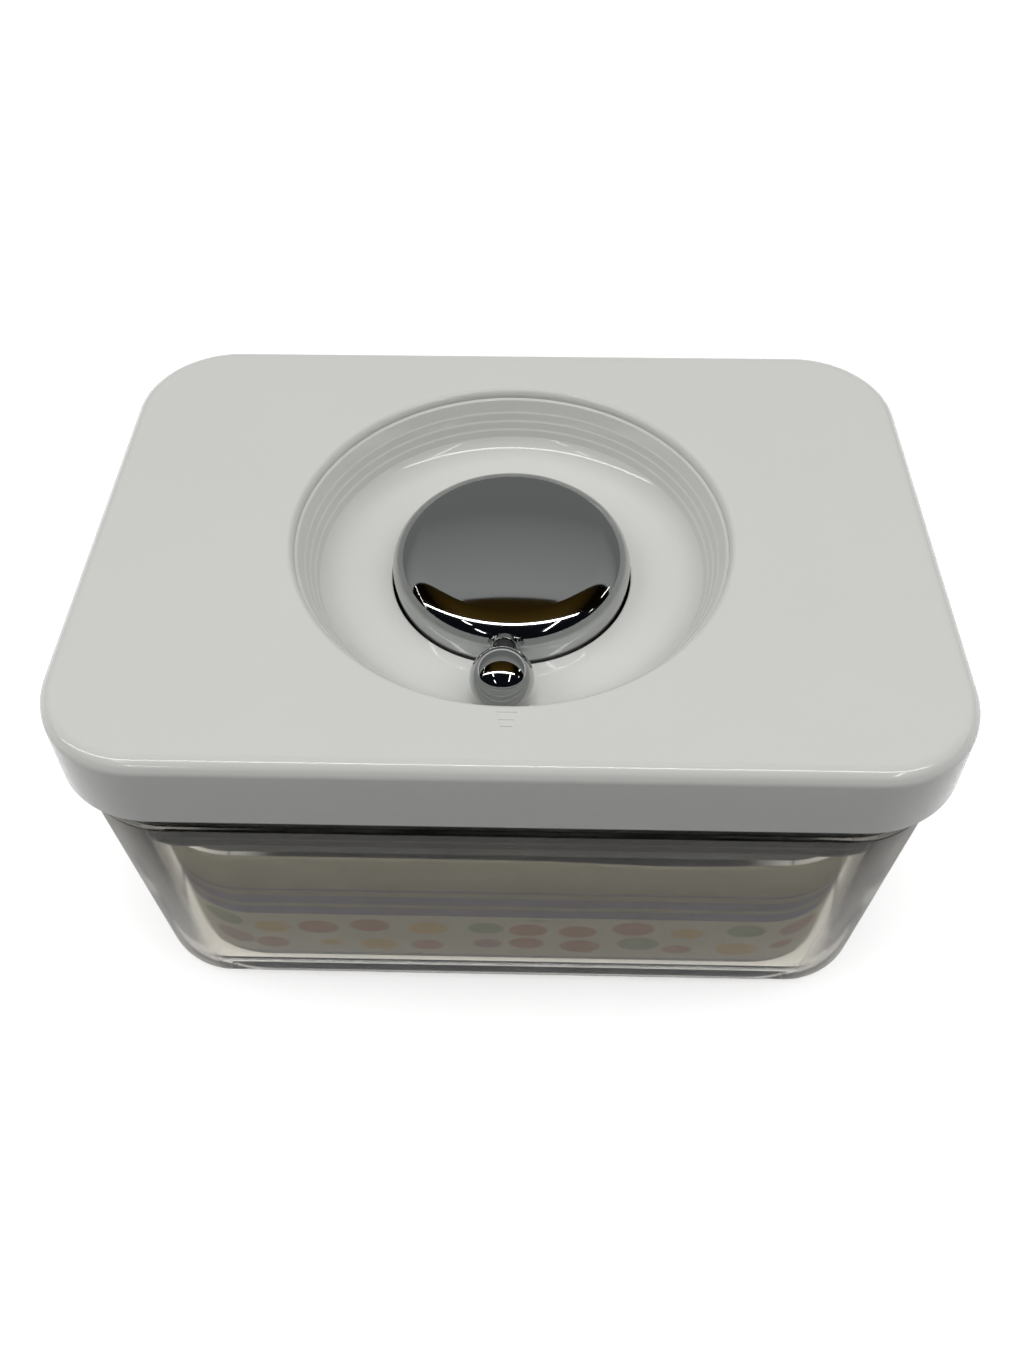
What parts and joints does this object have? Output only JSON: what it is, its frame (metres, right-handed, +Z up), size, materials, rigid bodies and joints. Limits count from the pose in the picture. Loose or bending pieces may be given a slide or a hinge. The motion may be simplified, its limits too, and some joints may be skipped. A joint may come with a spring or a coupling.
{
  "type": "food canister",
  "caption": "Rectangular clear food canister under a deep white lid; a chrome dial with a ball lever in a dished recess lowers or lifts the plate that seals the plug.",
  "frame": {"origin": "middle of the tub's foot, on the surface that it stands on", "axes": "+Z up, +X to the right along the long side, -Y to the front where the lever points at rest"},
  "size_m": [0.2, 0.1396, 0.108],
  "materials": {
    "clear_plastic": "clear polished, slightly milky",
    "printed_paper": "printed paper",
    "white_plastic": "gloss moulded",
    "dark_plastic": "satin moulded",
    "dark_silicone": "satin silicone",
    "steel": "turned",
    "bearing_plastic": "moulded",
    "chrome": "mirror plated",
    "hub_plastic": "moulded",
    "pale_silicone": "satin silicone"
  },
  "bodies": {
    "tub": {"canister_tub": "clear_plastic", "printed_liner": "printed_paper"},
    "lid": {"lid_cover": "white_plastic", "inner_lid": "dark_plastic", "seal_gasket": "dark_silicone", "cover_screws": "steel", "dial_bush": "bearing_plastic", "thrust_washer": "bearing_plastic", "return_spring": "steel"},
    "dial": {"dome_cap": "chrome", "dial_hub": "hub_plastic", "hub_screws": "steel", "lever_neck": "chrome", "neck_collar": "chrome", "ball_knob": "chrome", "lever_screw": "steel", "retaining_clip": "steel"},
    "plate": {"pressure_plate": "dark_plastic", "lift_spindle": "steel", "cross_pin": "steel", "guide_pins": "steel", "plate_seal": "pale_silicone", "plate_screw": "steel", "vent_valve": "pale_silicone"}
  },
  "joints": [
    {"name": "lid_lift", "type": "slide", "parent": "tub", "child": "lid", "axis": [0, 0, 1], "range_m": [0, 0.08]},
    {"name": "dial_turn", "type": "hinge", "parent": "lid", "child": "dial", "pos_m": [0, 0, 0.0905], "axis": [0, 0, 1], "range_deg": [0, 90]},
    {"name": "plate_drop", "type": "slide", "parent": "lid", "child": "plate", "axis": [0, 0, -1], "range_m": [0, 0.0025], "deforming": ["seal_gasket", "return_spring"]}
  ],
  "couplings": [
    {"joint": "plate_drop", "follows": "dial_turn", "m_per_rad": 0.0015915}
  ]
}
